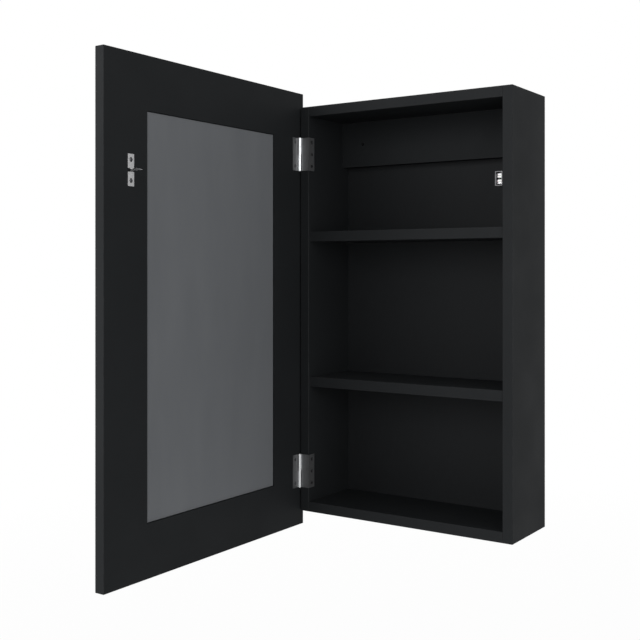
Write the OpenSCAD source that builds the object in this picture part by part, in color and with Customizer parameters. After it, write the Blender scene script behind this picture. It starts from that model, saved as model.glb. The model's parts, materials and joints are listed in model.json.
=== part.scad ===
// Mirrored wall cabinet: a board carcass with two fixed shelves and a hanging rail,
// a framed mirror door on two wrap-around butt hinges, and a sprung double-roller catch.
// Millimetres. The origin lies midway between the two wall-screw holes, on the wall plane.
// +X runs to the user's right, +Y into the wall, +Z up. The door is drawn standing open.

/* [Carcass] */
// Outside width of the carcass
body_w = 356; // [300:1:500]
// Outside height of the carcass
body_h = 616; // [540:1:800]
// Depth of the carcass, from its front edges to the wall
body_d = 108; // [100:1:160]
// Thickness of the carcass boards
board_t = 15; // [15:0.5:19]
// Clear height of the compartment under the lower shelf
lower_space = 175; // [120:1:200]
// Clear height of the compartment over the upper shelf
upper_space = 175; // [150:1:200]
// How far the shelf fronts stand back from the carcass front
shelf_setback = 3; // [0:0.5:8]
// Arris planed off the visible board edges
arris = 0.5; // [0.2:0.1:1]

/* [Back and hanging rail] */
// Thickness of the back board
back_t = 3; // [2.5:0.5:4]
// How far the back board laps onto the carcass boards
back_lap = 7; // [5:0.5:8]
// Clearance round the edge of the back board
back_clear = 0.5; // [0.2:0.1:1]
// Height of the hanging rail
rail_h = 70; // [60:1:90]
// Thickness of the hanging rail
rail_t = 15; // [12:0.5:19]
// Distance between the two wall-screw holes
wall_hole_pitch = 250; // [180:1:260]
// Diameter of the wall-screw holes
wall_hole_d = 5.5; // [4.5:0.5:7]

/* [Door] */
// Thickness of the door frame
door_t = 15; // [13:0.5:19]
// How far the door laps past the carcass at the top, the bottom and the latch side
overhang = 22; // [15:0.5:25]
// How far the door laps past the side that carries its hinges
hinge_overhang = 12; // [8:0.5:25]
// Width of the frame round the mirror, seen from inside
frame_w = 70; // [50:1:90]
// How far the front lip of the frame laps over the mirror
mirror_lap = 10; // [8:0.5:14]
// Thickness of the mirror glass
mirror_t = 4; // [3:0.5:5]
// How far the back of the glass lies below the inside of the frame
mirror_inset = 1.8; // [0.5:0.1:3]
// Thickness of the mounting tape between the front lip and the glass
tape_t = 1; // [0.5:0.1:1.5]
// Width of the mounting tape
tape_w = 8; // [5:0.5:8]
// Clearance round the edge of the glass
mirror_clear = 0.8; // [0.5:0.1:2]

/* [Hinges] */
// Height of a hinge
hinge_h = 50; // [45:1:65]
// Thickness of the hinge leaves
leaf_t = 0.9; // [0.7:0.1:1]
// Outside diameter of a knuckle
knuckle_d = 4.6; // [4.2:0.1:5.2]
// Diameter of a hinge pin
pin_d = 2.7; // [2:0.1:2.8]
// Running clearance of a pin in its knuckles, on the radius
pin_clear = 0.05; // [0.02:0.01:0.1]
// Reach of the door leaf from the pin axis
leaf_w = 14; // [13:0.5:18]
// Reach of the cabinet leaf along the inner face of the side
leg_w = 13; // [12:0.5:16]
// Distance from the top of the carcass to the middle of the upper hinge
upper_hinge_drop = 72; // [55:1:100]
// Distance from the bottom of the carcass to the middle of the lower hinge
lower_hinge_rise = 61; // [55:1:100]
// Distance of the outer hinge screws from the middle of a hinge
hinge_screw_offset = 18; // [14:0.5:18]

/* [Catch] */
// Distance from the top of the carcass to the middle of the catch
catch_drop = 125; // [115:1:150]
// Distance from the inner face of the side to the middle of the rollers
catch_reach = 5.25; // [5:0.25:8]
// Depth of the catch housing
catch_depth = 13; // [11:0.5:16]
// Thickness of the catch sheet metal
catch_t = 0.9; // [0.8:0.1:1.2]
// Height of the catch base plate
catch_plate_h = 40; // [38:1:46]
// Diameter of a catch roller
roller_d = 4.6; // [4.2:0.1:5.4]
// Gap between the two rollers at rest
roller_gap = 1.6; // [1.4:0.1:2]
// Distance each roller can be pushed aside
roller_travel = 1; // [0.8:0.1:1.2]
// Diameter of a roller axle
axle_d = 1.6; // [1.2:0.1:1.8]
// Free height left for each roller spring
spring_h = 2.4; // [2.2:0.1:4]
// Thickness of the strike blade between the rollers
blade_t = 1.2; // [1:0.1:1.2]
// Thickness of the spear head of the strike
head_t = 3; // [2.8:0.1:3.2]
// Width of the strike plate
strike_w = 10; // [9:0.5:12]
// Width of the strike blade
blade_w = 5; // [4:0.2:5.4]

/* [Hidden] */
$fn = 48;
cut = 1;                // how far a cutting tool runs past a face
rest_angle = 90;        // the door is drawn open by this angle

// Carcass planes
inner_w = body_w - 2 * board_t;
x_left = -body_w / 2;
x_right = body_w / 2;
x_left_in = x_left + board_t;
x_right_in = x_right - board_t;
y_front = -body_d;
y_rail_front = -back_t - rail_t;
z_top = board_t + rail_h / 2;
z_bottom = z_top - body_h;
z_floor = z_bottom + board_t;
z_ceiling = z_top - board_t;
z_lower_shelf = z_floor + lower_space;
z_upper_shelf = z_ceiling - upper_space - board_t;

// Door planes, drawn shut
knuckle_r = knuckle_d / 2;
bore_r = pin_d / 2 + pin_clear;
knuckle_clear = 0.2;    // between a knuckle and the carcass front
swing_clear = 0.2;      // between the carcass corner and the swinging door
leaf_clear = 0.4;       // between a leaf and the other leaf's knuckle
axial_clear = 0.1;      // between the parts stacked on a hinge pin
pin_x = x_left;
pin_y = y_front - knuckle_r - knuckle_clear;
door_gap = 2 * (knuckle_r + knuckle_clear) + swing_clear;
y_door_in = y_front - door_gap;
y_door_out = y_door_in - door_t;
door_w = body_w + overhang + hinge_overhang;
door_h = body_h + 2 * overhang;
x_door = x_left - hinge_overhang;
z_door = z_bottom - overhang;
x_rebate = x_door + frame_w;
z_rebate = z_door + frame_w;
rebate_w = door_w - 2 * frame_w;
rebate_h = door_h - 2 * frame_w;
rebate_d = mirror_inset + mirror_t + tape_t;
z_upper_hinge = z_top - upper_hinge_drop;
z_lower_hinge = z_bottom + lower_hinge_rise;
ring_h = 2.4;
ring_r = knuckle_r + 0.1;
pin_head_h = 0.8;
leaf_screw_x = pin_x + (knuckle_r + leaf_clear + leaf_w) / 2;
leg_screw_y = y_front + (leg_w + leaf_t) / 2;

// Catch planes, drawn shut
x_catch = x_right_in - catch_reach;
z_catch = z_top - catch_drop;
catch_lead = 1;         // how far the housing stands out in front of the side
y_catch = y_front - catch_lead;
catch_plate_back = 5;   // from the front of the housing to the front edge of its base plate
catch_plate_d = catch_depth - catch_plate_back;
roller_inset = 4.5;     // from the carcass front to the roller axes
y_roller = y_front + roller_inset;
roller_r = roller_d / 2;
roller_z = roller_gap / 2 + roller_r;
slide_clear = 0.25;     // between a yoke and the housing, and a roller and its yoke
yoke_t = 0.7;
yoke_half = catch_reach - catch_t - slide_clear;
roller_len = 2 * (yoke_half - yoke_t - slide_clear);
yoke_w = 4;
yoke_seat_z = roller_z + roller_r + slide_clear;
yoke_top_z = yoke_seat_z + yoke_t;
wall_z = yoke_top_z + spring_h;
housing_z = wall_z + catch_t;
axle_clear = 0.1;       // between an axle and its slot
catch_screw_z = (housing_z + catch_plate_h / 2) / 2;
spring_r = 1.4;
wire_r = 0.18;
spring_seat_clear = 0.03;
spring_turns = 3;
strike_t = 1;
strike_h = 40;
strike_slot_z = 13;
fold_gap = 4.5;         // between the halves of the strike plate, where the folds of the blade part
fold_run = 2.5;         // from the strike plate to where the folds meet

// Fasteners
dowel_d = 6;
dowel_len = 28;
dowel_in_side = 11;
dowel_from_front = 26;
dowel_y = y_front + dowel_from_front;
cam_from_front = 72;
cam_y = y_front + cam_from_front;
cam_d = 12;
cam_depth = 11;
cam_reach = 24;         // from the side's inner face to the cam's axis
bolt_in_side = 11;
bolt_shoulder_d = 5;
bolt_neck_d = 3.6;
bolt_head_d = 6;
bolt_head_h = 3.5;
peg_clear = 0.05;       // round dowels, bolts and cams
end_clear = 0.5;        // past the ends of dowels and bolts
cap_t = 0.8;
cap_d = 14;
rail_peg_z = 20;
hinge_screw_d = 2.8;
hinge_screw_head_d = 5.4;
hinge_screw_len = 11;
catch_screw_d = 2.4;
catch_screw_head_d = 4.6;
catch_screw_head_h = 1.5;
catch_screw_len = 12;
tip_r = 0.2;            // blunted point of a screw
screw_clear = 0.05;
nail_head_d = 3.2;
nail_head_t = 0.8;
nail_d = 1.4;
nail_len = 14;

// Boards that are pegged to the sides: [height of the middle, which face the cams open from]
pegged_boards = [
    [z_top - board_t / 2, 1],
    [z_bottom + board_t / 2, -1],
    [z_lower_shelf + board_t / 2, -1],
    [z_upper_shelf + board_t / 2, -1]
];

board_black = [0.10, 0.10, 0.11];
steel = [0.75, 0.75, 0.77];
dark_steel = [0.25, 0.25, 0.27];

// ---------- shapes that several parts share ----------

// Rectangle from the origin with its four corners planed off
module eased_rect(size, ease) {
    a = size[0];
    b = size[1];
    polygon([[ease, 0], [a - ease, 0], [a, ease], [a, b - ease],
             [a - ease, b], [ease, b], [0, b - ease], [0, ease]]);
}

// Box from the origin with all twelve edges planed off
module eased_box(size, ease) {
    intersection() {
        linear_extrude(size[2]) eased_rect([size[0], size[1]], ease);
        translate([0, size[1], 0])
            rotate([90, 0, 0]) linear_extrude(size[1]) eased_rect([size[0], size[2]], ease);
        rotate([90, 0, 90]) linear_extrude(size[0]) eased_rect([size[1], size[2]], ease);
    }
}

// Cylinder that starts at the origin and runs along +X
module x_rod(r, len) {
    rotate([0, 90, 0]) cylinder(r = r, h = len);
}

// Cylinder that starts at the origin and runs along +Y
module y_rod(r, len) {
    rotate([-90, 0, 0]) cylinder(r = r, h = len);
}

// Repeats a part at the left and right ends of a board, pointing out of the end
module at_both_ends() {
    for (side = [0, 1])
        mirror([side, 0, 0]) translate([inner_w / 2, 0, 0]) children();
}

// Countersunk hinge screw along -Z with its head flush with z = 0; extra is room round it
module hinge_screw(extra) {
    r = hinge_screw_d / 2 + extra;
    head_r = hinge_screw_head_d / 2 + extra;
    len = hinge_screw_len + (extra > 0 ? end_clear : 0);
    rotate([180, 0, 0]) {
        cylinder(r1 = head_r, r2 = r, h = head_r - r);
        cylinder(r = r, h = len - hinge_screw_d);
        translate([0, 0, len - hinge_screw_d]) cylinder(r1 = r, r2 = tip_r, h = hinge_screw_d);
    }
}

// The hole for a hinge screw, open towards the screwdriver
module hinge_screw_hole() {
    cylinder(r = hinge_screw_head_d / 2 + screw_clear, h = cut);
    hinge_screw(screw_clear);
}

// Round-headed screw of the catch along -Z, seated at z = 0
module catch_screw() {
    arc = 90 / 8;
    r = catch_screw_d / 2;
    rotate_extrude() polygon(concat(
        [[0, catch_screw_head_h]],
        [for (i = [1 : 8]) [catch_screw_head_d / 2 * sin(i * arc), catch_screw_head_h * cos(i * arc)]],
        [[r, 0], [r, catch_screw_d - catch_screw_len], [tip_r, -catch_screw_len], [0, -catch_screw_len]]));
}

// The hole for a screw of the catch, running both ways from the screw's seat
module catch_screw_hole() {
    cylinder(r = catch_screw_d / 2 + screw_clear, h = 2 * (catch_screw_len + end_clear), center = true);
}

// Slot along Z through +Y, with round ends
module y_slot(width, length, depth) {
    for (end = [-1, 1])
        translate([0, 0, end * (length - width) / 2]) y_rod(width / 2, depth);
    translate([-width / 2, 0, -(length - width) / 2]) cube([width, depth, length - width]);
}

// Places what is drawn with the door shut at the angle where the door stands
module swing_open() {
    translate([pin_x, pin_y, 0])
        rotate([0, 0, -rest_angle])
            translate([-pin_x, -pin_y, 0]) children();
}

// ---------- pegs, cams and their holes ----------

// The two kinds of peg at the right end of a board whose middle is at z = 0
module dowel_peg(extra) {
    translate([dowel_in_side - dowel_len - (extra > 0 ? end_clear : 0), 0, 0])
        x_rod(dowel_d / 2 + extra, dowel_len + (extra > 0 ? 2 * end_clear : 0));
}

module cam_bolt() {
    x_rod(bolt_shoulder_d / 2, bolt_in_side);
    translate([-cam_reach, 0, 0]) x_rod(bolt_neck_d / 2, cam_reach + cut);
    translate([-cam_reach - bolt_head_h / 2, 0, 0]) x_rod(bolt_head_d / 2, bolt_head_h);
}

module cam_bolt_hole() {
    x_rod(bolt_shoulder_d / 2 + peg_clear, bolt_in_side + end_clear);
    translate([-cam_reach, 0, 0]) x_rod((bolt_head_d + end_clear) / 2, cam_reach);
}

// Turns what is drawn opening upwards to the face a board's cams open from
module face_up(face) {
    mirror([0, 0, face > 0 ? 0 : 1]) children();
}

// Pocket for a cam in a board of thickness t whose middle is at z = 0
module cam_pocket(face, t) {
    face_up(face)
        translate([-cam_reach, 0, t / 2 - cam_depth]) cylinder(r = cam_d / 2, h = cam_depth + cut);
}

// Cam with a cross recess, hollowed where it grips the head of its bolt
module cam(face, t) {
    cross = 2 / 3 * cam_d;
    blade = 1.4;
    face_up(face)
        difference() {
            translate([-cam_reach, 0, t / 2 - cam_depth])
                difference() {
                    cylinder(r = cam_d / 2 - peg_clear, h = cam_depth - end_clear);
                    for (turn = [0, 90])
                        rotate([0, 0, turn])
                            translate([-cross / 2, -blade / 2, cam_depth - 2 * blade])
                                cube([cross, blade, 2 * blade]);
                }
            translate([-cam_reach - bolt_head_h / 2 - end_clear, 0, 0])
                x_rod((bolt_head_d + end_clear) / 2, cam_d);
        }
}

// Press-in cap over a cam
module cam_cap(face) {
    face_up(face)
        translate([-cam_reach, 0, board_t / 2]) {
            cylinder(r1 = cap_d / 2, r2 = cap_d / 2 - cap_t, h = cap_t);
            translate([0, 0, -end_clear]) cylinder(r = cam_d / 3, h = end_clear);
        }
}

// Every peg hole of the carcass, cut from whichever board is being made
module peg_holes() {
    for (board = pegged_boards)
        translate([0, 0, board[0]])
            at_both_ends() {
                translate([0, dowel_y, 0]) dowel_peg(peg_clear);
                translate([0, cam_y, 0]) cam_bolt_hole();
            }
    at_both_ends() {
        translate([0, y_rail_front + rail_t / 2, rail_peg_z]) dowel_peg(peg_clear);
        translate([0, y_rail_front + rail_t / 2, -rail_peg_z]) cam_bolt_hole();
    }
}

// Pocket across the rear of the carcass that takes the back board
module back_pocket() {
    translate([-inner_w / 2 - back_lap, -back_t, z_floor - back_lap])
        cube([inner_w + 2 * back_lap, back_t + cut, z_ceiling - z_floor + 2 * back_lap]);
}

// The two wall-screw holes, through the rail and the back board
module wall_holes() {
    for (side = [-1, 1])
        translate([side * wall_hole_pitch / 2, y_rail_front - cut, 0])
            y_rod(wall_hole_d / 2, rail_t + back_t + 2 * cut);
}

// Where the back board's nails stand, drawn along -Y from the rear face
module at_nails() {
    nail_x = inner_w / 2 + back_lap / 2;
    nail_run = -rail_h / 2 - z_floor;
    for (side = [-1, 1], i = [0 : 4])
        translate([side * nail_x, 0, z_floor + nail_run * (i + 0.5) / 5]) children();
    for (z = [z_floor - back_lap / 2, z_ceiling + back_lap / 2], i = [-1 : 1])
        translate([i * inner_w / 3, 0, z]) children();
}

module nail(extra) {
    rotate([90, 0, 0]) {
        translate([0, 0, extra > 0 ? -cut : 0])
            cylinder(r = nail_head_d / 2 + extra, h = nail_head_t + (extra > 0 ? cut : 0));
        cylinder(r = nail_d / 2 + extra, h = nail_len + extra);
    }
}

// ---------- carcass ----------

// Side board, drawn for the left; the right one is its mirror image
module side_board() {
    difference() {
        translate([x_left, y_front, z_bottom]) eased_box([board_t, body_d, body_h], arris);
        back_pocket();
        peg_holes();
        at_nails() nail(screw_clear);
    }
}

module left_side() {
    color(board_black)
        difference() {
            side_board();
            for (z = [z_upper_hinge, z_lower_hinge])
                leg_screws(z) hinge_screw_hole();
        }
}

module right_side() {
    color(board_black)
        difference() {
            mirror([1, 0, 0]) side_board();
            catch_screw_places() catch_screw_hole();
        }
}

// Board between the sides, with its long front edges planed off
module cross_board(z, front, rear) {
    difference() {
        translate([-inner_w / 2, front, z])
            rotate([90, 0, 90]) linear_extrude(inner_w) eased_rect([rear - front, board_t], arris);
        back_pocket();
        peg_holes();
    }
}

module cam_pockets(index) {
    board = pegged_boards[index];
    translate([0, 0, board[0]])
        at_both_ends() translate([0, cam_y, 0]) cam_pocket(board[1], board_t);
}

module top_board() {
    color(board_black)
        difference() {
            cross_board(z_ceiling, y_front, 0);
            cam_pockets(0);
            at_nails() nail(screw_clear);
        }
}

module bottom_board() {
    color(board_black)
        difference() {
            cross_board(z_bottom, y_front, 0);
            cam_pockets(1);
            at_nails() nail(screw_clear);
        }
}

module lower_shelf() {
    color(board_black)
        difference() {
            cross_board(z_lower_shelf, y_front + shelf_setback, -back_t);
            cam_pockets(2);
        }
}

module upper_shelf() {
    color(board_black)
        difference() {
            cross_board(z_upper_shelf, y_front + shelf_setback, -back_t);
            cam_pockets(3);
        }
}

module back_board() {
    w = inner_w + 2 * (back_lap - back_clear);
    h = z_ceiling - z_floor + 2 * (back_lap - back_clear);
    color(board_black)
        difference() {
            translate([-w / 2, -back_t, z_floor - back_lap + back_clear]) cube([w, back_t, h]);
            wall_holes();
            at_nails() nail(screw_clear);
        }
}

module hanging_rail() {
    color(board_black)
        difference() {
            translate([-inner_w / 2, y_rail_front, -rail_h / 2]) cube([inner_w, rail_t, rail_h]);
            wall_holes();
            peg_holes();
            rail_cam_places() cam_pocket(1, rail_t);
        }
}

// The rail's cams open from its rear face, so their +Z is turned to +Y
module rail_cam_places() {
    at_both_ends()
        translate([0, y_rail_front + rail_t / 2, -rail_peg_z]) rotate([-90, 0, 0]) children();
}

module wood_dowels() {
    color("burlywood") {
        for (board = pegged_boards)
            translate([0, 0, board[0]]) at_both_ends() translate([0, dowel_y, 0]) dowel_peg(0);
        at_both_ends() translate([0, y_rail_front + rail_t / 2, rail_peg_z]) dowel_peg(0);
    }
}

module cam_bolts() {
    color(steel) {
        for (board = pegged_boards)
            translate([0, 0, board[0]]) at_both_ends() translate([0, cam_y, 0]) cam_bolt();
        at_both_ends() translate([0, y_rail_front + rail_t / 2, -rail_peg_z]) cam_bolt();
    }
}

module cam_locks() {
    color(steel) {
        for (board = pegged_boards)
            translate([0, 0, board[0]]) at_both_ends() translate([0, cam_y, 0]) cam(board[1], board_t);
        rail_cam_places() cam(1, rail_t);
    }
}

module cam_caps() {
    color(board_black)
        for (board = pegged_boards)
            translate([0, 0, board[0]]) at_both_ends() translate([0, cam_y, 0]) cam_cap(board[1]);
}

module back_nails() {
    color(dark_steel) at_nails() nail(0);
}

// ---------- hinges, drawn shut with the middle of the hinge at z = 0 ----------

// Screws that hold a cabinet leaf to the side, pointing out through the side
module leg_screws(z) {
    for (i = [-1 : 1])
        translate([x_left_in + leaf_t, leg_screw_y, z + i * hinge_screw_offset])
            rotate([0, 90, 0]) children();
}

// Screws that hold a door leaf to the frame, pointing out through the frame
module leaf_screws(z) {
    for (i = [-1, 1])
        translate([leaf_screw_x, y_door_in + leaf_t, z + i * hinge_screw_offset])
            rotate([-90, 0, 0]) children();
}

// The leaf wraps the front edge of the side: knuckle, flange, then a leg inside
module cabinet_leaf(z) {
    notch = knuckle_r + leaf_clear;
    color(steel)
        difference() {
            union() {
                translate([pin_x, pin_y, z + ring_h / 2])
                    cylinder(r = knuckle_r, h = hinge_h / 2 - ring_h / 2);
                translate([pin_x, y_front - leaf_t, z + ring_h / 2])
                    cube([board_t + leaf_t, leaf_t, hinge_h / 2 - ring_h / 2]);
                translate([pin_x + notch, y_front - leaf_t, z - hinge_h / 2])
                    cube([board_t + leaf_t - notch, leaf_t, hinge_h]);
                translate([x_left_in, y_front - leaf_t, z - hinge_h / 2])
                    cube([leaf_t, leg_w + leaf_t, hinge_h]);
            }
            translate([pin_x, pin_y, z]) cylinder(r = bore_r, h = hinge_h);
            leg_screws(z) hinge_screw_hole();
        }
}

module door_leaf(z) {
    notch = knuckle_r + leaf_clear;
    z_low = z - hinge_h / 2 + axial_clear;
    knuckle_h = hinge_h / 2 - ring_h / 2 - 2 * axial_clear;
    color(steel)
        swing_open()
            difference() {
                union() {
                    translate([pin_x, pin_y, z_low]) cylinder(r = knuckle_r, h = knuckle_h);
                    translate([pin_x, y_door_in, z_low]) cube([leaf_w, leaf_t, knuckle_h]);
                    translate([pin_x + notch, y_door_in, z - hinge_h / 2])
                        cube([leaf_w - notch, leaf_t, hinge_h]);
                }
                translate([pin_x, pin_y, z_low - cut]) cylinder(r = bore_r, h = knuckle_h + 2 * cut);
                leaf_screws(z) hinge_screw_hole();
            }
}

// The pin hangs by its upper head on the cabinet knuckle and carries the door's on its lower head
module hinge_pin(z) {
    color(steel)
        translate([pin_x, pin_y, z]) {
            cylinder(r = pin_d / 2, h = hinge_h, center = true);
            for (end = [0, 1])
                mirror([0, 0, end])
                    translate([0, 0, hinge_h / 2])
                        cylinder(r1 = knuckle_r - knuckle_clear, r2 = bore_r, h = pin_head_h);
        }
}

module hinge_ring(z) {
    color(steel)
        translate([pin_x, pin_y, z])
            difference() {
                cylinder(r = ring_r, h = ring_h, center = true);
                cylinder(r = bore_r, h = ring_h + 2 * cut, center = true);
            }
}

module upper_cabinet_leaf() { cabinet_leaf(z_upper_hinge); }
module lower_cabinet_leaf() { cabinet_leaf(z_lower_hinge); }
module upper_door_leaf() { door_leaf(z_upper_hinge); }
module lower_door_leaf() { door_leaf(z_lower_hinge); }
module upper_hinge_pin() { hinge_pin(z_upper_hinge); }
module lower_hinge_pin() { hinge_pin(z_lower_hinge); }
module upper_hinge_ring() { hinge_ring(z_upper_hinge); }
module lower_hinge_ring() { hinge_ring(z_lower_hinge); }

module cabinet_leaf_screws() {
    color(steel)
        for (z = [z_upper_hinge, z_lower_hinge])
            leg_screws(z) hinge_screw(0);
}

module door_leaf_screws() {
    color(steel)
        swing_open()
            for (z = [z_upper_hinge, z_lower_hinge])
                leaf_screws(z) hinge_screw(0);
}

// ---------- roller catch ----------

// The two base-plate screws, pointing out through the side
module catch_screw_places() {
    for (end = [-1, 1])
        translate([x_right_in - catch_t, y_catch + catch_plate_back + catch_plate_d / 2,
                   z_catch + end * catch_screw_z])
            rotate([0, -90, 0]) children();
}

// Slot in which an axle end slides, cut right across the housing
module axle_slot(sign) {
    slot_r = axle_d / 2 + axle_clear;
    across = 2 * catch_reach + 2 * cut;
    low = z_catch + sign * roller_z;
    high = low + sign * roller_travel;
    for (z = [low, high])
        translate([x_right_in + cut - across, y_roller, z]) x_rod(slot_r, across);
    translate([x_right_in + cut - across, y_roller - slot_r, min(low, high)])
        cube([across, 2 * slot_r, roller_travel]);
}

module catch_housing() {
    color(steel)
        difference() {
            union() {
                translate([x_right_in - 2 * catch_reach, y_catch, z_catch - housing_z])
                    cube([2 * catch_reach, catch_depth, 2 * housing_z]);
                translate([x_right_in - catch_t, y_catch + catch_plate_back,
                           z_catch - catch_plate_h / 2])
                    cube([catch_t, catch_plate_d, catch_plate_h]);
            }
            translate([x_right_in - 2 * catch_reach + catch_t, y_catch - cut, z_catch - wall_z])
                cube([2 * catch_reach - 2 * catch_t, catch_depth + 2 * cut, 2 * wall_z]);
            for (sign = [-1, 1]) axle_slot(sign);
            catch_screw_places() catch_screw_hole();
        }
}

module catch_screws() {
    color(steel) catch_screw_places() catch_screw();
}

// Fork that holds a roller by its axle, drawn above the middle of the catch
module roller_yoke(sign) {
    foot_z = roller_z - axle_d;
    color(dark_steel)
        translate([x_catch, y_roller, z_catch])
            mirror([0, 0, sign > 0 ? 0 : 1])
                difference() {
                    translate([-yoke_half, -yoke_w / 2, foot_z])
                        cube([2 * yoke_half, yoke_w, yoke_top_z - foot_z]);
                    translate([-yoke_half + yoke_t, -yoke_w / 2 - cut, foot_z - cut])
                        cube([2 * (yoke_half - yoke_t), yoke_w + 2 * cut, yoke_seat_z - foot_z + cut]);
                    translate([-yoke_half - cut, 0, roller_z])
                        x_rod(axle_d / 2 + pin_clear, 2 * (yoke_half + cut));
                }
}

module roller_axle(sign) {
    axle_len = 2 * catch_reach - 2 * end_clear;
    color(steel)
        translate([x_catch - axle_len / 2, y_roller, z_catch + sign * roller_z])
            x_rod(axle_d / 2, axle_len);
}

module roller(sign) {
    ease = 0.4;
    bore = axle_d / 2 + pin_clear;
    color("white")
        translate([x_catch - roller_len / 2, y_roller, z_catch + sign * roller_z])
            rotate([0, 90, 0])
                rotate_extrude()
                    polygon([[bore, 0], [roller_r - ease, 0], [roller_r, ease],
                             [roller_r, roller_len - ease], [roller_r - ease, roller_len],
                             [bore, roller_len]]);
}

// Helical wire: rings of points round the coil's centre line, joined side to side
module coil(radius, wire, height, turns) {
    sides = 6;
    per_turn = 14;
    steps = turns * per_turn;
    rise = height - 2 * wire;
    points = [for (i = [0 : steps], k = [0 : sides - 1])
        let (turn = 360 * i / per_turn, round = 360 * k / sides, r = radius + wire * cos(round))
        [r * cos(turn), r * sin(turn), wire + rise * i / steps + wire * sin(round)]];
    skin = [for (i = [0 : steps - 1], k = [0 : sides - 1])
        let (a = i * sides + k, b = i * sides + (k + 1) % sides)
        [a, b, b + sides, a + sides]];
    start = [for (k = [sides - 1 : -1 : 0]) k];
    end = [for (k = [0 : sides - 1]) steps * sides + k];
    polyhedron(points = points, faces = concat([start], skin, [end]));
}

module roller_spring(sign) {
    color(steel)
        translate([x_catch, y_roller, z_catch])
            mirror([0, 0, sign > 0 ? 0 : 1])
                translate([0, 0, yoke_top_z + spring_seat_clear])
                    coil(spring_r, wire_r, spring_h - 2 * spring_seat_clear, spring_turns);
}

module upper_roller_spring() { roller_spring(1); }
module lower_roller_spring() { roller_spring(-1); }
module upper_roller_yoke() { roller_yoke(1); }
module lower_roller_yoke() { roller_yoke(-1); }
module upper_roller_axle() { roller_axle(1); }
module lower_roller_axle() { roller_axle(-1); }
module upper_roller() { roller(1); }
module lower_roller() { roller(-1); }

// ---------- door ----------

// Block as large as the mirror's rebate less a margin all round
module rebate_block(margin, from, to) {
    translate([x_rebate + margin, from, z_rebate + margin])
        cube([rebate_w - 2 * margin, to - from, rebate_h - 2 * margin]);
}

module door_frame() {
    color(board_black)
        swing_open()
            difference() {
                translate([x_door, y_door_out, z_door]) eased_box([door_w, door_t, door_h], arris);
                rebate_block(mirror_lap, y_door_out - cut, y_door_in);
                rebate_block(0, y_door_in - rebate_d, y_door_in + cut);
                for (z = [z_upper_hinge, z_lower_hinge])
                    leaf_screws(z) hinge_screw_hole();
                strike_screw_places() catch_screw_hole();
            }
}

module mirror_glass() {
    color([0.78, 0.80, 0.82])
        swing_open()
            rebate_block(mirror_clear, y_door_in - mirror_inset - mirror_t, y_door_in - mirror_inset);
}

// Four strips of double-sided tape on the front lip, under the glass
module mirror_tape() {
    lip = y_door_in - rebate_d;
    near = (mirror_lap - tape_w) / 2;
    wide = rebate_w - 2 * near;
    high = rebate_h - 2 * near;
    upright = high - 2 * (tape_w + mirror_clear);
    color([0.2, 0.2, 0.2])
        swing_open()
            for (side = [0, 1]) {
                translate([x_rebate + near + side * (wide - tape_w), lip,
                           z_rebate + (rebate_h - upright) / 2])
                    cube([tape_w, tape_t, upright]);
                translate([x_rebate + near, lip, z_rebate + near + side * (high - tape_w)])
                    cube([wide, tape_t, tape_w]);
            }
}

// The two strike screws, pointing out through the frame
module strike_screw_places() {
    for (end = [-1, 1])
        translate([x_catch, y_door_in + strike_t, z_catch + end * strike_slot_z])
            rotate([-90, 0, 0]) children();
}

// Strip folded into a spear-headed blade, with its two ends bent out flat to be screwed down
module strike_plate() {
    neck = blade_t / 2;
    head = head_t / 2;
    tip = 0.3;
    drop = roller_z - head;
    grip = sqrt(roller_r * roller_r - drop * drop);
    neck_end = 0.5;
    head_start = grip + 0.8;
    head_end = head_start + 1.4;
    nose = head_end + 4.5;
    slot = 3.2;
    root = y_door_in - y_roller;
    fold = root + strike_t + fold_run;
    half_h = (strike_h - fold_gap) / 2;
    color(steel)
        swing_open() {
            translate([x_catch - blade_w / 2, y_roller, z_catch])
                rotate([90, 0, 90])
                    linear_extrude(blade_w)
                        polygon([[root, -fold_gap / 2 - neck], [fold, -neck], [neck_end, -neck],
                                 [head_start, -head], [head_end, -head], [nose, -tip],
                                 [nose, tip], [head_end, head], [head_start, head],
                                 [neck_end, neck], [fold, neck], [root, fold_gap / 2 + neck],
                                 [root, fold_gap / 2], [fold, 0], [root, -fold_gap / 2]]);
            for (end = [-1, 1])
                difference() {
                    translate([x_catch - strike_w / 2, y_door_in,
                               z_catch + end * (fold_gap + half_h) / 2 - half_h / 2])
                        cube([strike_w, strike_t, half_h]);
                    translate([x_catch, y_door_in - cut, z_catch + end * strike_slot_z])
                        y_slot(slot, 2 * slot, strike_t + 2 * cut);
                }
        }
}

module strike_screws() {
    color(dark_steel)
        swing_open()
            strike_screw_places() catch_screw();
}

// ---------- one line for each sub-part ----------

left_side();
right_side();
top_board();
bottom_board();
upper_shelf();
lower_shelf();
back_board();
hanging_rail();
wood_dowels();
cam_bolts();
cam_locks();
cam_caps();
back_nails();
upper_cabinet_leaf();
lower_cabinet_leaf();
upper_hinge_pin();
lower_hinge_pin();
upper_hinge_ring();
lower_hinge_ring();
cabinet_leaf_screws();
catch_housing();
catch_screws();
upper_roller_spring();
lower_roller_spring();
upper_roller_yoke();
lower_roller_yoke();
upper_roller_axle();
lower_roller_axle();
upper_roller();
lower_roller();
door_frame();
mirror_glass();
mirror_tape();
upper_door_leaf();
lower_door_leaf();
door_leaf_screws();
strike_plate();
strike_screws();
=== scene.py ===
"""Looks of the mirrored wall cabinet: black melamine boards, plated hardware, silvered glass.

Metres, in the CAD frame: the origin lies midway between the two wall-screw holes on the wall plane,
+X to the user's right, +Y into the wall, +Z up. At rest the door stands open, so its inner face
looks along +X and the front of its mirror along -X.
"""
import json
import math
import random

import bmesh
import bpy
from mathutils import Matrix, Vector


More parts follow.
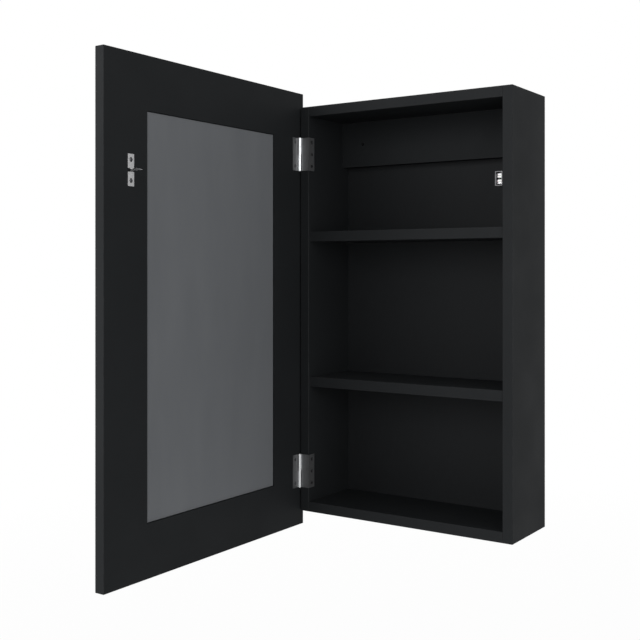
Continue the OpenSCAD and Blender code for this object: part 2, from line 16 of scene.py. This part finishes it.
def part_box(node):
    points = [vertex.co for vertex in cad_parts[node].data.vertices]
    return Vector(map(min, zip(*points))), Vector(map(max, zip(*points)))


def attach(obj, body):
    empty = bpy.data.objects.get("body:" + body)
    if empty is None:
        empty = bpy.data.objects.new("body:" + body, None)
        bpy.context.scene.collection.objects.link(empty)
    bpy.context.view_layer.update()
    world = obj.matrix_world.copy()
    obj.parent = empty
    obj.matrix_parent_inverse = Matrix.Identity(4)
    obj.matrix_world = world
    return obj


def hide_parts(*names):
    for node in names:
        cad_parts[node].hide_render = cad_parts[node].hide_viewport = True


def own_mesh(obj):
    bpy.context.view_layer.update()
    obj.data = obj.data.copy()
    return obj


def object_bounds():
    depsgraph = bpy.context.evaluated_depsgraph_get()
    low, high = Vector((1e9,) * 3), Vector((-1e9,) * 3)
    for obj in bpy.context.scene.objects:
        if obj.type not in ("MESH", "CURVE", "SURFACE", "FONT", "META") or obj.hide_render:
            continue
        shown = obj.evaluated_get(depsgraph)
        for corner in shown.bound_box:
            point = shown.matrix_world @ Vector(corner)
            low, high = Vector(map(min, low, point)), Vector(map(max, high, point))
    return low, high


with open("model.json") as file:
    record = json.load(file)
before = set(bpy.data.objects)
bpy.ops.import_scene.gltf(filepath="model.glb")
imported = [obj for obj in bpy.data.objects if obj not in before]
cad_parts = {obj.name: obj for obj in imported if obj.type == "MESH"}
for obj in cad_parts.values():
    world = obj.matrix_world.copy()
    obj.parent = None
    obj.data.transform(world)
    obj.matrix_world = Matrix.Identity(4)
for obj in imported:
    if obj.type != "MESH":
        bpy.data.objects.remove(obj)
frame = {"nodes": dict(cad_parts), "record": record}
cad_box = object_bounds()
nodes = frame["nodes"]
joints = {joint["name"]: joint for joint in frame["record"]["behaviour"]["joints"]}
scene = bpy.context.scene

MM = 0.001
X_AXIS, Y_AXIS, Z_AXIS = range(3)


def rgb(r, g, b):
    """A colour in linear light."""
    return (r, g, b, 1.0)


# ---------- colours; a pair holds the two shades that a material varies between ----------

WHITE = rgb(1.0, 1.0, 1.0)
FLOOR_GREY = rgb(0.8, 0.8, 0.8)
BOARD_FACE = rgb(0.0099, 0.0109, 0.0117), rgb(0.0126, 0.0137, 0.0147)
BOARD_EDGE = rgb(0.0110, 0.0120, 0.0129)
# paler arrises: partly wear, partly a painted highlight standing for the light on rounded arrises
EDGE_WEAR_AND_HIGHLIGHT = rgb(0.0220, 0.0226, 0.0236)
LACQUER = rgb(0.0091, 0.0098, 0.0105), rgb(0.0132, 0.0142, 0.0153)
SCREEN_SIDE = rgb(0.012, 0.0118, 0.0115), rgb(0.022, 0.0215, 0.0205)
BLACK_PLASTIC = rgb(0.012, 0.012, 0.013), rgb(0.018, 0.018, 0.019)
NYLON = rgb(0.78, 0.78, 0.76), rgb(0.88, 0.88, 0.86)
BEECH = rgb(0.62, 0.43, 0.25), rgb(0.40, 0.25, 0.13)
FOAM = rgb(0.02, 0.02, 0.02), rgb(0.05, 0.05, 0.05)
BACKING_PAINT = rgb(0.103, 0.108, 0.115), rgb(0.113, 0.118, 0.125)
GLASS_EDGE = rgb(0.10, 0.22, 0.18), rgb(0.16, 0.30, 0.25)
SILVER = rgb(0.88, 0.90, 0.90)

ZINC_PLATE = rgb(0.165, 0.168, 0.172)
BURNISHED = rgb(0.66, 0.67, 0.68)
BRIGHT_PLATE = rgb(0.58, 0.58, 0.59)
DIE_CAST = rgb(0.50, 0.50, 0.50)
SPRING_STEEL = rgb(0.45, 0.45, 0.46)
BARE_STEEL = rgb(0.40, 0.40, 0.41)
DULL_STEEL = rgb(0.11, 0.11, 0.115)
ZINC_SCREW = rgb(0.13, 0.13, 0.135)
BLACK_SCREW = rgb(0.055, 0.055, 0.06)

BOARD_GLOSS = 0.07      # specular level of the black boards
PLASTIC_GLOSS = 0.12    # and of the caps and the mirror's painted back
BARE_WOOD_GLOSS = 0.3

# ---------- sizes ----------

WELD_DISTANCE = 1e-7
# width of the paler arrises, which are edge wear and a painted edge highlight
EDGE_WEAR_AND_HIGHLIGHT_WIDTH = 1.2 * MM
KNUCKLE_RADIUS = 2.8 * MM
KNUCKLE_BLUR = 0.2 * MM

# screws, in millimetres
FLAT_HEAD = dict(head=2.7, head_h=1.3, shank=1.4, domed=False)
PAN_HEAD = dict(head=2.3, head_h=1.5, shank=1.2, domed=True)
SCREW_SIDES = 24
DOME_STEPS = 6
THREAD_PITCH = 1.1
THREAD_ROOT = 0.74      # of the shank's radius, as is THREAD_END
THREAD_END = 0.70
CREST = 0.42, 0.58      # of the pitch, where the thread is full
NECK = 0.8              # plain length behind the head
POINT = 2.4             # length that the thread leaves for the point
RECESS_DEPTH = 1.5
RECESS_CLEAR = 1.0      # how far the cutter stands above the head
RECESS_TOP = 1.50, 0.40     # reach and half width of an arm
RECESS_FLOOR = 0.60, 0.26
SHARP_ANGLE = math.radians(35)

WIRE_RADIUS = 0.18 * MM
COIL_TURNS = 4.5
FLAT_TURN = 0.6         # how much of a turn lies flat at each end
COIL_STEPS = 32         # rings to a turn
WIRE_SIDES = 10

# ---------- studio ----------

WORLD_STRENGTH = 0.45
FLOOR_DROP = 0.75       # below the cabinet
FLOOR_HALF_WIDTH = 14.0
FLOOR_FADE = {"From Min": 1.4, "From Max": 4.0, "To Min": 0.95, "To Max": 1.0}
LAMPS = (   # name, place, width, watts
    ("key", (-1.15, -2.4, 0.35), 1.8, 48),
    ("front", (0.5, -2.4, 0.4), 1.5, 8),
    ("side", (2.4, -0.6, 0.3), 1.5, 14),
    ("fill", (2.0, -1.6, 0.0), 1.5, 16),
)
CAMERA_PLACE = (0.7344, -1.2865, -0.1983)
CAMERA_TURN = math.radians(31.82)
CAMERA_SHIFT = -0.1272, -0.0783
LENS_MM, SENSOR_MM = 54.50, 36.0
CAMERA_REACH = 60.0


# ---------- short ways to build node trees ----------

class Tree:
    """The node tree of a material or a world."""

    def __init__(self, owner, cleared=False):
        owner.use_nodes = True
        self.tree = owner.node_tree
        if cleared:
            self.tree.nodes.clear()

    def node(self, kind, inputs=None, **settings):
        made = self.tree.nodes.new("ShaderNode" + kind)
        for name, value in settings.items():
            setattr(made, name, value)
        for socket, value in (inputs or {}).items():
            self.feed(made.inputs[socket], value)
        return made

    def feed(self, socket, value):
        """Links an output to a socket, or sets the socket to a plain value."""
        if isinstance(value, bpy.types.NodeSocket):
            self.tree.links.new(value, socket)
        else:
            socket.default_value = value

    def math(self, operation, a, b=0.0, clamp=False):
        return self.node("Math", {0: a, 1: b}, operation=operation, use_clamp=clamp).outputs[0]

    def blend(self, factor, first, second):
        """The shader output that goes from one shader node to another."""
        return self.node("MixShader", {0: factor, 1: first.outputs[0], 2: second.outputs[0]}).outputs[0]


class Surface(Tree):
    """A Principled material whose patterns lie in the object's own coordinates."""

    def __init__(self, name, **sockets):
        self.material = bpy.data.materials.new(name)
        super().__init__(self.material)
        self.shader = self.tree.nodes["Principled BSDF"]
        self.coordinates = self.node("TexCoord")
        self.place = self.coordinates.outputs["Object"]
        for socket, value in sockets.items():
            self.shader.inputs[socket.replace("_", " ")].default_value = value

    def finish(self, colour, roughness=None, relief=None):
        """Feeds the shader: relief is a height, its depth in metres and its strength."""
        self.feed(self.shader.inputs["Base Color"], colour)
        if roughness is not None:
            self.feed(self.shader.inputs["Roughness"], roughness)
        if relief is not None:
            bump = self.node("Bump", dict(zip(("Height", "Distance", "Strength"), relief)))
            self.feed(self.shader.inputs["Normal"], bump.outputs["Normal"])
        return self.material

    def xyz(self, vector):
        return self.node("SeparateXYZ", {"Vector": vector}).outputs

    def normal(self, axis):
        """How far the surface faces along an axis of the object, -1 to 1."""
        return self.xyz(self.coordinates.outputs["Normal"])[axis]

    def noise(self, scale, detail=2.0, stretch=None):
        """Noise with about `scale` cells to a metre; an axis with a small stretch has longer ones."""
        where = self.place
        if stretch:
            where = self.node("Mapping", {"Vector": where, "Scale": stretch}).outputs["Vector"]
        return self.node("TexNoise", {"Vector": where, "Scale": scale, "Detail": detail}).outputs["Fac"]

    def bands(self, scale, distortion, direction):
        inputs = {"Vector": self.place, "Scale": scale, "Distortion": distortion}
        return self.node("TexWave", inputs, wave_type="BANDS", bands_direction=direction).outputs["Fac"]

    def spread(self, value, low, high):
        """Turns noise, mostly between 0.3 and 0.7, into the range low to high."""
        inputs = {"Value": value, "From Min": 0.3, "From Max": 0.7, "To Min": low, "To Max": high}
        return self.node("MapRange", inputs).outputs["Result"]

    def mix(self, factor, a, b):
        made = self.node("Mix", {"Factor": factor}, data_type="RGBA")
        for socket, colour in zip([s for s in made.inputs if s.type == "RGBA"], (a, b)):
            self.feed(socket, colour)
        return next(s for s in made.outputs if s.type == "RGBA")

    def near_edge(self, low, high, reach):
        """1 on the edges of a box and 0 from `reach` inwards: the second smallest distance to its faces."""
        place = self.xyz(self.place)
        a, b, c = (self.math("MINIMUM", self.math("SUBTRACT", place[axis], low[axis]),
                             self.math("SUBTRACT", high[axis], place[axis]))
                   for axis in (X_AXIS, Y_AXIS, Z_AXIS))
        second = self.math("MINIMUM", self.math("MAXIMUM", a, b), c)
        second = self.math("MAXIMUM", self.math("MINIMUM", a, b), second)
        return self.math("SUBTRACT", 1.0, self.math("DIVIDE", second, reach), clamp=True)

    def near_upright(self, line, radius, blur):
        """1 round an upright line and 0 outside a radius from it."""
        place = self.xyz(self.place)
        off = [self.math("SUBTRACT", place[axis], line[axis]) for axis in (X_AXIS, Y_AXIS)]
        away = self.math("SQRT", self.math("ADD", *(self.math("MULTIPLY", v, v) for v in off)))
        return self.math("DIVIDE", self.math("SUBTRACT", radius, away), blur, clamp=True)


def paint(material, *names):
    """Gives CAD nodes a material through their objects' slots."""
    for name in names:
        for slot in nodes[name].material_slots:
            slot.link = "OBJECT"
            slot.material = material


# ---------- materials ----------

def melamine(node, face_axis):
    """Black melamine-faced board: pearled faces, smoother edging, and arrises a little paler, partly as
    wear and partly as a painted highlight for the light a rounded arris would catch.
    """
    s = Surface("melamine_" + node, Specular_IOR_Level=BOARD_GLOSS)
    face = s.math("POWER", s.math("ABSOLUTE", s.normal(face_axis)), 6.0)
    cloud = s.spread(s.noise(9.0, 3.0), 0.0, 0.6)
    pearl = s.noise(1000.0)
    board = s.mix(face, BOARD_EDGE, s.mix(cloud, *BOARD_FACE))
    patchy = s.spread(s.noise(90.0, 5.0), 0.0, 0.8)
    # mask of the paler arrises: edge wear together with a painted edge highlight
    worn_and_highlit_edges = s.math("MULTIPLY", s.near_edge(*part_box(node), EDGE_WEAR_AND_HIGHLIGHT_WIDTH), patchy)
    handled = s.spread(s.noise(14.0, 5.0), 0.0, 0.10)
    matt = s.math("ADD", s.spread(pearl, 0.50, 0.57), s.math("MULTIPLY", face, 0.06))
    return s.finish(s.mix(worn_and_highlit_edges, board, EDGE_WEAR_AND_HIGHLIGHT), s.math("ADD", matt, handled),
                    (s.math("MULTIPLY", pearl, face), 0.12 * MM, 0.8))


def hardboard(name):
    """Back board: lacquered smooth inside, with the mesh pattern of its screen on the rear."""
    s = Surface(name, Specular_IOR_Level=BOARD_GLOSS)
    rear = s.math("GREATER_THAN", s.normal(Y_AXIS), 0.5)
    fibre = s.noise(240.0, 6.0, (1.0, 1.0, 0.35))
    screen = s.math("MULTIPLY", s.bands(130.0, 0.6, "X"), s.bands(130.0, 0.6, "Z"))
    rough_side = s.mix(s.math("MULTIPLY", screen, 0.6), *SCREEN_SIDE)
    matt = s.math("ADD", s.spread(fibre, 0.55, 0.66), s.math("MULTIPLY", rear, 0.22))
    height = s.math("ADD", s.math("MULTIPLY", fibre, 0.25), s.math("MULTIPLY", screen, rear))
    return s.finish(s.mix(rear, s.mix(fibre, *LACQUER), rough_side), matt, (height, 0.15 * MM, 0.5))


def plated_steel(name, colour, rough, grain_axis=Z_AXIS, metallic=1.0, knuckle_at=None):
    """Plated sheet or wire with the fine lines of rolling along one axis and a few dull patches.
    Round the upright line `knuckle_at` it is burnished, as hinge barrels and pins are."""
    s = Surface(name, Metallic=metallic)
    along_grain = tuple(0.03 if axis == grain_axis else 1.0 for axis in (X_AXIS, Y_AXIS, Z_AXIS))
    lines = s.noise(2200.0, 3.0, along_grain)
    dull = s.spread(s.noise(160.0, 4.0), 0.0, 0.7)
    plate = s.mix(dull, colour, rgb(*(0.85 * c for c in colour[:3])))
    matt = s.math("ADD", s.spread(lines, rough - 0.04, rough + 0.04), s.spread(dull, -0.03, 0.05))
    if knuckle_at:
        bright = s.near_upright(knuckle_at, KNUCKLE_RADIUS, KNUCKLE_BLUR)
        plate = s.mix(bright, plate, BURNISHED)
        matt = s.math("MULTIPLY", matt, s.spread(bright, 1.0, 0.7))
    return s.finish(plate, matt, (lines, 0.01 * MM, 0.25))


def nylon(name):
    """Natural nylon: slightly clouded, with fine turning lines round the roller."""
    s = Surface(name, Roughness=0.34, Subsurface_Weight=0.08, Subsurface_Scale=2 * MM)
    turning = s.noise(5200.0, 2.0, (1.0, 0.05, 0.05))
    return s.finish(s.mix(s.noise(420.0, 3.0), *NYLON), relief=(turning, 0.02 * MM, 0.3))


def black_plastic(name):
    """Moulded caps with a fine matt texture."""
    s = Surface(name, Specular_IOR_Level=PLASTIC_GLOSS)
    grain = s.noise(1800.0, 3.0)
    return s.finish(s.mix(grain, *BLACK_PLASTIC), s.spread(grain, 0.42, 0.55), (grain, 0.06 * MM, 0.4))


def beech(name):
    """Bare beech with grain along the dowels, which lie along X."""
    s = Surface(name, Specular_IOR_Level=BARE_WOOD_GLOSS)
    grain = s.noise(900.0, 4.0, (0.08, 1.0, 1.0))
    return s.finish(s.mix(grain, *BEECH), s.spread(grain, 0.6, 0.75), (grain, 0.2 * MM, 0.4))


def foam(name):
    """Black foam tape with open cells."""
    s = Surface(name, Roughness=0.95)
    cells = s.node("TexVoronoi", {"Vector": s.place, "Scale": 2200.0}).outputs["Distance"]
    return s.finish(s.mix(cells, *FOAM), relief=(cells, 0.2 * MM, 0.8))


def mirror(name):
    """Silvered glass: it mirrors from its front, shows grey backing paint behind and green at its edges."""
    s = Surface(name, Specular_IOR_Level=PLASTIC_GLOSS)
    front = s.math("LESS_THAN", s.normal(X_AXIS), -0.5)
    back = s.math("GREATER_THAN", s.normal(X_AXIS), 0.5)
    brushed = s.spread(s.noise(30.0, 4.0, (1.0, 1.0, 0.25)), 0.0, 1.0)
    glass = s.mix(back, s.mix(s.noise(60.0), *GLASS_EDGE), s.mix(brushed, *BACKING_PAINT))
    s.feed(s.shader.inputs["Metallic"], front)
    dust = s.spread(s.noise(500.0, 5.0), 0.45, 0.55)
    matt = s.math("MULTIPLY", s.math("SUBTRACT", 1.0, front), dust)
    orange_peel = s.math("MULTIPLY", s.noise(700.0), back)
    return s.finish(s.mix(front, glass, SILVER), s.math("MAXIMUM", matt, 0.015),
                    (orange_peel, 0.08 * MM, 0.35))


def paint_cad_nodes(hinge_line):
    boards = {X_AXIS: ("left_side", "right_side", "door_frame"),
              Z_AXIS: ("top_board", "bottom_board", "upper_shelf", "lower_shelf"),
              Y_AXIS: ("hanging_rail",)}
    for face_axis, names in boards.items():
        for name in names:
            paint(melamine(name, face_axis), name)
    paint(hardboard("lacquered_hardboard"), "back_board")
    paint(beech("beech"), "wood_dowels")
    paint(plated_steel("die_cast_zinc", DIE_CAST, 0.45), "cam_locks")
    paint(black_plastic("cap_plastic"), "cam_caps")
    paint(plated_steel("bare_steel", BARE_STEEL, 0.38, Y_AXIS), "back_nails", "cam_bolts")
    paint(plated_steel("zinc_plate", ZINC_PLATE, 0.33, metallic=0.7, knuckle_at=hinge_line),
          "upper_cabinet_leaf", "lower_cabinet_leaf", "upper_door_leaf", "lower_door_leaf",
          "upper_hinge_pin", "lower_hinge_pin", "upper_hinge_ring", "lower_hinge_ring")
    paint(plated_steel("bright_plate", BRIGHT_PLATE, 0.26, metallic=0.9),
          "strike_plate", "upper_roller_yoke", "lower_roller_yoke")
    paint(plated_steel("catch_steel", DULL_STEEL, 0.50, metallic=0.4), "catch_housing")
    paint(plated_steel("axle_steel", SPRING_STEEL, 0.3), "upper_roller_axle", "lower_roller_axle")
    paint(nylon("nylon"), "upper_roller", "lower_roller")
    paint(mirror("silvered_glass"), "mirror_glass")
    paint(foam("foam_tape"), "mirror_tape")


# ---------- pieces that stand for CAD nodes ----------

def solid_boxes(node):
    """The corners of each separate solid of a CAD node."""
    shape = bmesh.new()
    shape.from_mesh(nodes[node].data)
    bmesh.ops.remove_doubles(shape, verts=shape.verts, dist=WELD_DISTANCE)
    left = set(shape.verts)
    boxes = []
    while left:
        reached, ends = set(), [left.pop()]
        while ends:
            vertex = ends.pop()
            reached.add(vertex)
            for edge in vertex.link_edges:
                other = edge.other_vert(vertex)
                if other in left:
                    left.remove(other)
                    ends.append(other)
        points = [vertex.co for vertex in reached]
        boxes.append((Vector(map(min, zip(*points))), Vector(map(max, zip(*points)))))
    shape.free()
    return sorted(boxes, key=lambda box: tuple(round(v, 5) for v in box[0]))


def join_rings(shape, rings):
    """Closes a shape over its rings of vertices, in order; the first or last may be a single point."""
    sides = max(map(len, rings))
    for one, two in zip(rings, rings[1:]):
        for k in range(sides):
            n = k + 1
            corners = one[k % len(one)], one[n % len(one)], two[n % len(two)], two[k % len(two)]
            shape.faces.new(list(dict.fromkeys(corners)))
    for ring in (rings[0], rings[-1]):
        if len(ring) > 1:
            shape.faces.new(ring)
    bmesh.ops.recalc_face_normals(shape, faces=shape.faces)


def turned(profile, sides):
    """Closed turned shape about X, from (x, radius) points that start and end on the axis."""
    shape = bmesh.new()
    rings = []
    for x, radius in profile:
        turns = [2 * math.pi * k / sides for k in range(sides)] if radius else [0.0]
        rings.append([shape.verts.new((x, radius * math.cos(a), radius * math.sin(a))) for a in turns])
    join_rings(shape, rings)
    return shape


def cross_cutter():
    """Tapered cross that cuts a screw's recess, with its arms in the YZ plane."""
    shape = bmesh.new()
    layers = []
    for x, (reach, half) in ((RECESS_CLEAR, RECESS_TOP), (-RECESS_DEPTH, RECESS_FLOOR)):
        arm = [(reach, -half), (reach, half), (half, half)]
        ring = []
        for c, s in ((1, 0), (0, 1), (-1, 0), (0, -1)):
            ring += [shape.verts.new((x, c * y - s * z, s * y + c * z)) for y, z in arm]
        layers.append(ring)
    join_rings(shape, layers)
    return shape


def as_object(shape, name):
    mesh = bpy.data.meshes.new(name)
    shape.to_mesh(mesh)
    shape.free()
    made = bpy.data.objects.new(name, mesh)
    scene.collection.objects.link(made)
    return made


def stand_for(made, node, body, material):
    """Puts a detailed piece in the place of a CAD node."""
    made.data.materials.append(material)
    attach(made, body)
    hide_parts(node)


def screw_mesh(head, head_h, shank, length, domed):
    """Cross-recessed wood screw in millimetres: its head's top at x = 0, its point towards -X."""
    if domed:
        arcs = (k * math.pi / 2 / DOME_STEPS for k in range(1, DOME_STEPS + 1))
        profile = [(head_h * (math.cos(arc) - 1), head * math.sin(arc)) for arc in arcs]
    else:
        profile = [(0.0, head)]
    profile = [(0.0, 0.0)] + profile + [(-head_h, shank)]
    x = -head_h - NECK
    while x > POINT - length:
        profile.append((x, THREAD_ROOT * shank))
        profile += [(x - part * THREAD_PITCH, shank) for part in CREST]
        x -= THREAD_PITCH
    profile += [(x, THREAD_END * shank), (-length, 0.0)]
    body = as_object(turned(profile, SCREW_SIDES), "screw_blank")
    cutter = as_object(cross_cutter(), "screw_cutter")
    cut = body.modifiers.new("recess", "BOOLEAN")
    cut.operation = "DIFFERENCE"
    cut.solver = "EXACT"
    cut.object = cutter
    bpy.context.view_layer.update()
    mesh = bpy.data.meshes.new_from_object(body.evaluated_get(bpy.context.evaluated_depsgraph_get()))
    for used in (body, cutter):
        bpy.data.objects.remove(used)
    return mesh


def screws(node, body, material, facing, shape_of_head):
    """Detailed screws in the places of a node's plain ones, each turned by a chance angle.
    Their heads face +X or -X, as the sign of `facing` says."""
    spin = random.Random(len(node))
    boxes = solid_boxes(node)
    length = (boxes[0][1].x - boxes[0][0].x) / MM
    blank = screw_mesh(length=length, **shape_of_head)
    shape = bmesh.new()
    for low, high in boxes:
        middle = (low + high) / 2
        place = Matrix.Translation((high.x if facing > 0 else low.x, middle.y, middle.z))
        turn = Matrix.Rotation(0.0 if facing > 0 else math.pi, 4, "Z")
        turn = turn @ Matrix.Rotation(spin.uniform(0, math.pi / 2), 4, "X")
        one = blank.copy()
        one.transform(place @ turn @ Matrix.Scale(MM, 4))
        shape.from_mesh(one)
        bpy.data.meshes.remove(one)
    bpy.data.meshes.remove(blank)
    made = as_object(shape, "detailed_" + node)
    made.data.set_sharp_from_angle(angle=SHARP_ANGLE)
    stand_for(made, node, body, material)


def spring(node, material):
    """Round-wire coil with closed ends, built in the place of a CAD spring node."""
    low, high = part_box(node)
    middle = (low + high) / 2
    radius = (high.x - low.x) / 2 - WIRE_RADIUS
    height = high.z - low.z - 2 * WIRE_RADIUS
    shape = bmesh.new()
    rings = []
    for i in range(int(COIL_TURNS * COIL_STEPS) + 1):
        turn = i / COIL_STEPS
        share = min(max((turn - FLAT_TURN) / (COIL_TURNS - 2 * FLAT_TURN), 0.0), 1.0)
        angle = 2 * math.pi * turn
        lift = low.z + WIRE_RADIUS + height * share
        ring = []
        for k in range(WIRE_SIDES):
            around = 2 * math.pi * k / WIRE_SIDES
            reach = radius + WIRE_RADIUS * math.cos(around)
            ring.append(shape.verts.new((middle.x + reach * math.cos(angle),
                                         middle.y + reach * math.sin(angle),
                                         lift + WIRE_RADIUS * math.sin(around))))
        rings.append(ring)
    join_rings(shape, rings)
    made = as_object(shape, "detailed_" + node)
    made.data.shade_smooth()
    stand_for(made, node, "cabinet", material)
    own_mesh(made)


def add_details():
    zinc_screw = plated_steel("zinc_screw", ZINC_SCREW, 0.30, X_AXIS, metallic=0.9)
    black_screw = plated_steel("black_screw", BLACK_SCREW, 0.42, X_AXIS, metallic=0.8)
    screws("cabinet_leaf_screws", "cabinet", zinc_screw, 1, FLAT_HEAD)
    screws("door_leaf_screws", "door", zinc_screw, 1, FLAT_HEAD)
    screws("catch_screws", "cabinet", zinc_screw, -1, PAN_HEAD)
    screws("strike_screws", "door", black_screw, 1, PAN_HEAD)
    wire = plated_steel("spring_wire", SPRING_STEEL, 0.3)
    for joint in joints.values():
        for soft in joint.get("deforming_nodes", []):
            spring(soft["node"], wire)


# ---------- floor, light and camera ----------

def shown_rays(t):
    """1 for rays from the camera and those that metal or glass sends on, 0 for rays that light things."""
    rays = t.node("LightPath").outputs
    shown = rays["Is Camera Ray"]
    for name in ("Is Glossy Ray", "Is Transmission Ray"):
        shown = t.math("MAXIMUM", shown, rays[name])
    return shown


def studio_world(strength):
    """White where it shows, and a plain grey light on everything else."""
    scene.world = bpy.data.worlds.new("studio")
    t = Tree(scene.world, cleared=True)
    light = t.node("Background", {"Color": WHITE, "Strength": strength})
    shown = t.node("Background", {"Color": WHITE})
    t.node("OutputWorld", {"Surface": t.blend(shown_rays(t), light, shown)})


def pale_floor(height, half_width):
    """A plain floor below the hanging cabinet: nearly white where it shows, still taking a shadow."""
    mesh = bpy.data.meshes.new("floor")
    corners = [(x * half_width, y * half_width, height) for x, y in ((-1, -1), (1, -1), (1, 1), (-1, 1))]
    mesh.from_pydata(corners, [], [(0, 1, 2, 3)])
    floor = bpy.data.objects.new("floor", mesh)
    scene.collection.objects.link(floor)
    material = bpy.data.materials.new("floor")
    t = Tree(material, cleared=True)
    matt = t.node("BsdfDiffuse", {"Color": FLOOR_GREY})
    away = t.node("VectorMath", {0: t.node("TexCoord").outputs["Object"]}, operation="LENGTH")
    fade = t.node("MapRange", {"Value": away.outputs["Value"], **FLOOR_FADE})
    whiteness = t.math("MULTIPLY", shown_rays(t), fade.outputs["Result"])
    t.node("OutputMaterial", {"Surface": t.blend(whiteness, matt, t.node("Emission"))})
    mesh.materials.append(material)


def softbox(name, place, target, size, power):
    """A square area lamp that looks at a point."""
    lamp = bpy.data.lights.new(name, "AREA")
    lamp.shape = "SQUARE"
    lamp.size = size
    lamp.energy = power
    box = bpy.data.objects.new(name, lamp)
    box.location = place
    box.rotation_euler = (Vector(target) - Vector(place)).to_track_quat("-Z", "Y").to_euler()
    box.visible_camera = False
    scene.collection.objects.link(box)


def photo_camera():
    """Level camera to the right of the front; the shift keeps the uprights parallel."""
    data = bpy.data.cameras.new("camera")
    data.sensor_width = SENSOR_MM
    data.lens = LENS_MM
    data.shift_x, data.shift_y = CAMERA_SHIFT
    data.clip_end = CAMERA_REACH
    camera = bpy.data.objects.new("camera", data)
    camera.location = CAMERA_PLACE
    camera.rotation_euler = (math.radians(90), 0, CAMERA_TURN)
    scene.collection.objects.link(camera)
    scene.camera = camera


photo_camera()
paint_cad_nodes(joints["door_swing"]["pos_m"])
add_details()
studio_world(WORLD_STRENGTH)
pale_floor(cad_box[0].z - FLOOR_DROP, FLOOR_HALF_WIDTH)
middle = (cad_box[0] + cad_box[1]) / 2
for name, place, width, watts in LAMPS:
    softbox(name, place, middle, width, watts)

scene.view_settings.view_transform = "Standard"
